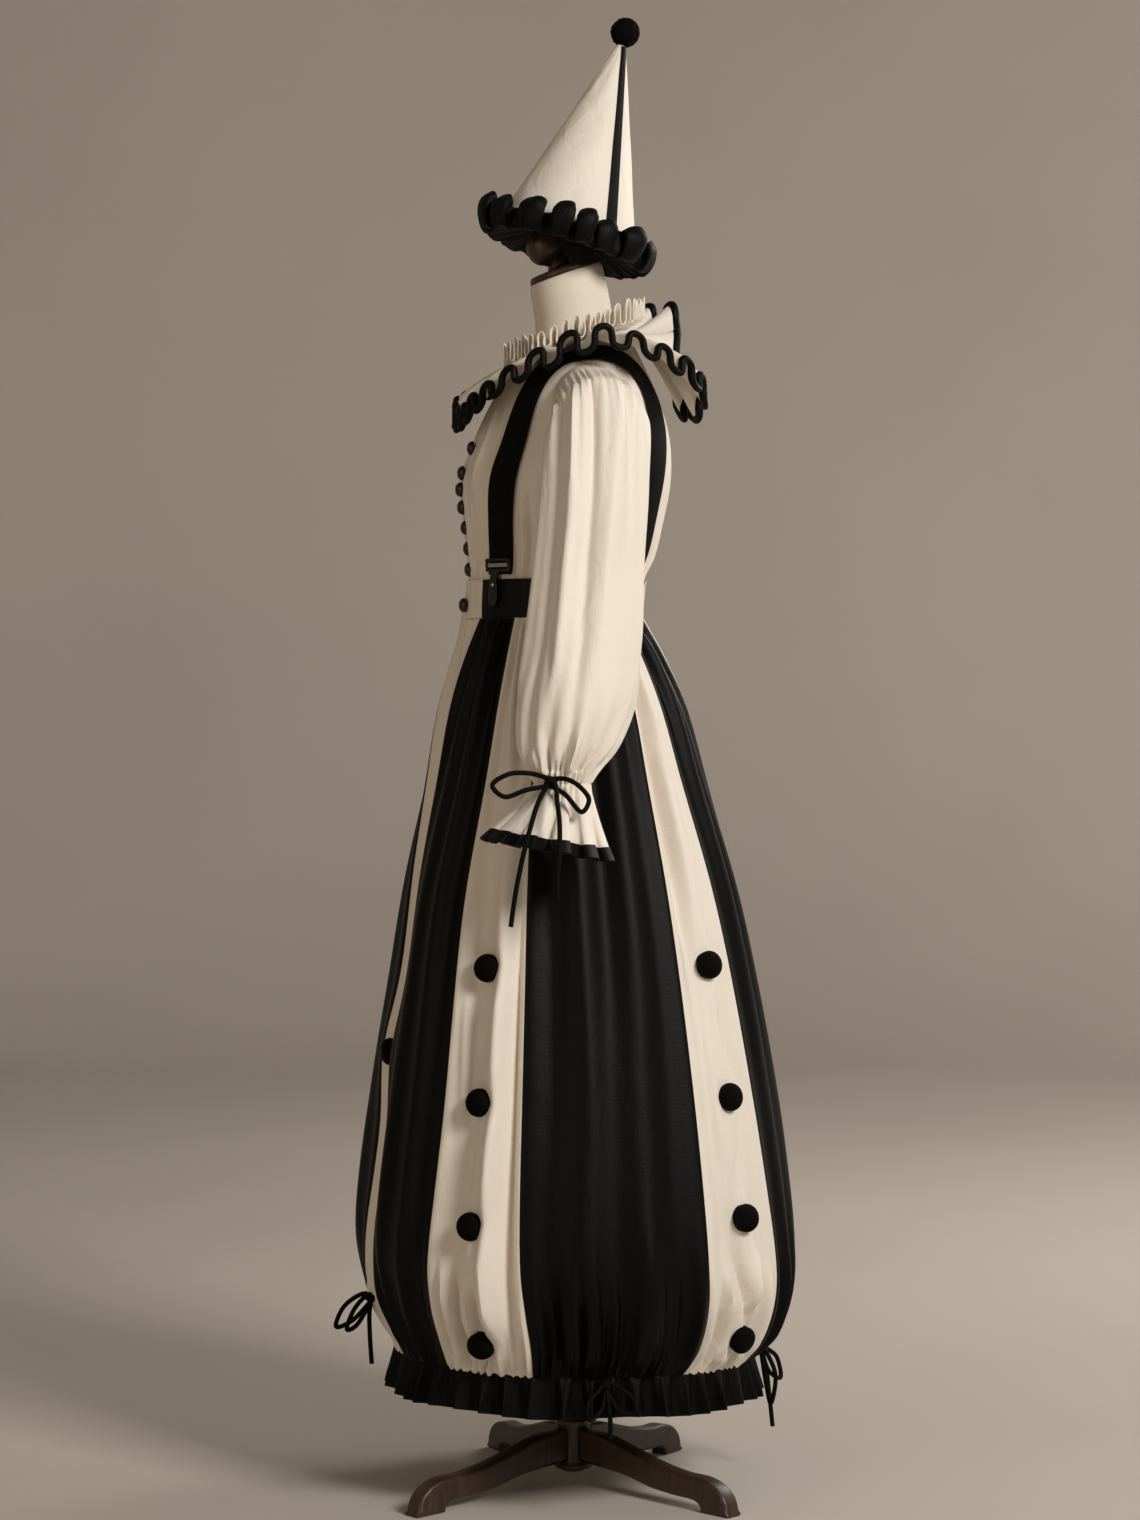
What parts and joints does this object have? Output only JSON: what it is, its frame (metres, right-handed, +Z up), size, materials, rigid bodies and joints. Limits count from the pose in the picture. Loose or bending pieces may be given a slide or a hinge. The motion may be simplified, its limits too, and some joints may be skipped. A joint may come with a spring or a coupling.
{
  "type": "jester costume on a dress form with a wooden stand",
  "caption": "Black and cream jester costume with cone hat, ruff collar, braces and balloon skirt, shown on a dress form with a turned stand.",
  "frame": {"origin": "on the floor, under the middle of the costume and stand", "axes": "+X to the wearer's left, -Y the front of the costume, +Z up"},
  "size_m": [0.7921, 0.6059, 1.9099],
  "materials": {
    "cream_cloth": "soft satin cotton",
    "black_cloth": "soft satin cotton",
    "black_cord": "twisted cotton cord",
    "black_pompom": "cut yarn",
    "black_button": "polished dome",
    "linen": "woven linen cover",
    "walnut": "turned and varnished",
    "steel": "satin"
  },
  "bodies": {
    "root": {"blouse_front_left": "cream_cloth", "blouse_front_right": "cream_cloth", "blouse_back": "cream_cloth", "ruff_collar": "cream_cloth", "neck_frill": "cream_cloth", "waistband_front": "cream_cloth", "waistband_back": "cream_cloth", "skirt_front_cream": "cream_cloth", "skirt_back_cream": "cream_cloth", "hat_cone": "cream_cloth", "sleeve_left": "cream_cloth", "cuff_flounce_left": "cream_cloth", "skirt_front_dotted_left": "cream_cloth", "skirt_back_dotted_left": "cream_cloth", "sleeve_right": "cream_cloth", "cuff_flounce_right": "cream_cloth", "skirt_front_dotted_right": "cream_cloth", "skirt_back_dotted_right": "cream_cloth", "ruff_collar_binding": "black_cloth", "waistband_left": "black_cloth", "waistband_right": "black_cloth", "hem_ruffle": "black_cloth", "hat_ruffle": "black_cloth", "cuff_binding_left": "black_cloth", "brace_left": "black_cloth", "skirt_front_black_left": "black_cloth", "skirt_side_black_left": "black_cloth", "skirt_back_black_left": "black_cloth", "hat_ribbon_left": "black_cloth", "cuff_binding_right": "black_cloth", "brace_right": "black_cloth", "skirt_front_black_right": "black_cloth", "skirt_side_black_right": "black_cloth", "skirt_back_black_right": "black_cloth", "hat_ribbon_right": "black_cloth", "wrist_bow_left": "black_cord", "hem_bow_left": "black_cord", "wrist_bow_right": "black_cord", "hem_bow_right": "black_cord", "hem_bow_front": "black_cord", "hem_bow_back": "black_cord", "stand_post": "walnut", "neck_cap_finial": "walnut", "leg_1": "walnut", "leg_2": "walnut", "leg_3": "walnut", "leg_4": "walnut", "form_torso": "linen", "brace_clip_left": "steel", "brace_clip_right": "steel", "skirt_front_pompom": "black_pompom", "hat_pompom": "black_pompom", "blouse_button_1": "black_button", "blouse_button_2": "black_button", "blouse_button_3": "black_button", "blouse_button_4": "black_button", "blouse_button_5": "black_button", "blouse_button_6": "black_button", "blouse_button_7": "black_button", "waistband_button": "black_button"}
  },
  "joints": []
}
